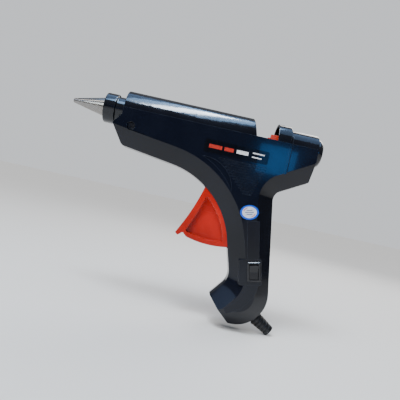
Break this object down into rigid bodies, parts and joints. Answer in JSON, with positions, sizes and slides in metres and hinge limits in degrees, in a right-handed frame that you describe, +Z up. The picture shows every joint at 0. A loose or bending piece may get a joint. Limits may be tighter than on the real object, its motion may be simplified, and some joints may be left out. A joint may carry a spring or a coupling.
{
  "type": "hot glue gun",
  "caption": "Pistol-grip hot glue gun with a cone nozzle, heated barrel, top window, stick inlet, sprung trigger feed and rocker switch.",
  "frame": {"origin": "centre of the glue stick inlet's mouth at the rear of the barrel", "axes": "+X along the barrel from the nozzle to the stick inlet, +Z up; -Y is the gun's left side, with the switch and labels"},
  "size_m": [0.2016, 0.0361, 0.1665],
  "materials": {
    "housing_plastic": "gloss moulded ABS, near black",
    "collar_plastic": "gloss black heat-resistant moulding",
    "nozzle_metal": "polished plated brass",
    "trigger_plastic": "gloss orange-red moulding",
    "feed_plastic": "orange-red moulding, semi-gloss",
    "jaw_plastic": "dark red moulding, semi-gloss",
    "cast_aluminium": "as cast, slightly rough",
    "ceramic": "grey PTC ceramic",
    "electrode_metal": "rolled brass sheet",
    "insulation_film": "amber polyimide film",
    "spring_steel": "bright spring steel",
    "zinc_steel": "zinc-plated steel",
    "black_steel": "blackened steel",
    "silicone": "red-brown silicone rubber",
    "switch_plastic": "gloss black nylon",
    "brown_insulation": "brown PVC",
    "blue_insulation": "blue PVC",
    "glass_sleeving": "braided glass fibre, off-white",
    "crimp_nylon": "natural nylon",
    "relief_rubber": "black flexible PVC",
    "label_film": "glossy printed film, plain colour bars",
    "sticker_film": "pale paper disc with a blue rim"
  },
  "bodies": {
    "body": {"left_housing": "housing_plastic", "right_housing": "housing_plastic", "housing_screws": "black_steel", "nozzle": "nozzle_metal", "nozzle_collar": "collar_plastic", "melt_chamber": "cast_aluminium", "heater_insulation": "insulation_film", "heater_electrodes": "electrode_metal", "heater_stone": "ceramic", "heater_clip": "spring_steel", "inlet_sleeve": "silicone", "sleeve_clamp": "spring_steel", "trigger_pin": "spring_steel", "return_spring": "spring_steel", "inlet_ring": "collar_plastic", "switch_body": "switch_plastic", "switch_terminals": "electrode_metal", "supply_lead": "brown_insulation", "switched_lead": "brown_insulation", "neutral_lead": "blue_insulation", "lead_sleeving": "glass_sleeving", "crimp_caps": "crimp_nylon", "strain_relief": "relief_rubber", "cord_clamp": "collar_plastic", "clamp_screws": "zinc_steel", "rating_label": "label_film", "round_sticker": "sticker_film"},
    "trigger": {"trigger": "trigger_plastic"},
    "carriage": {"feed_carriage": "feed_plastic", "jaw_pin": "spring_steel"},
    "jaw": {"clamp_jaw": "jaw_plastic"},
    "rocker": {"switch_rocker": "switch_plastic"}
  },
  "joints": [
    {"name": "trigger_pull", "type": "hinge", "parent": "body", "child": "trigger", "pos_m": [-0.071, 0, -0.015], "axis": [0, -1, 0], "range_deg": [0, 18], "stiffness_Nm_per_rad": 0.6, "springref_deg": -6.88},
    {"name": "stick_feed", "type": "slide", "parent": "body", "child": "carriage", "axis": [-1, 0, 0], "range_m": [0, 0.0067], "deforming": ["return_spring"]},
    {"name": "jaw_grip", "type": "hinge", "parent": "carriage", "child": "jaw", "pos_m": [-0.0476, 0, -0.011], "axis": [0, 1, 0], "range_deg": [0, 6]},
    {"name": "switch_rock", "type": "hinge", "parent": "body", "child": "rocker", "pos_m": [-0.0339, -0.0152, -0.1006], "axis": [0.9781, 0, 0.2079], "range_deg": [-16, 0]}
  ],
  "couplings": [
    {"joint": "stick_feed", "follows": "trigger_pull", "m_per_rad": 0.021},
    {"joint": "jaw_grip", "follows": "trigger_pull", "ratio": 0.33}
  ]
}
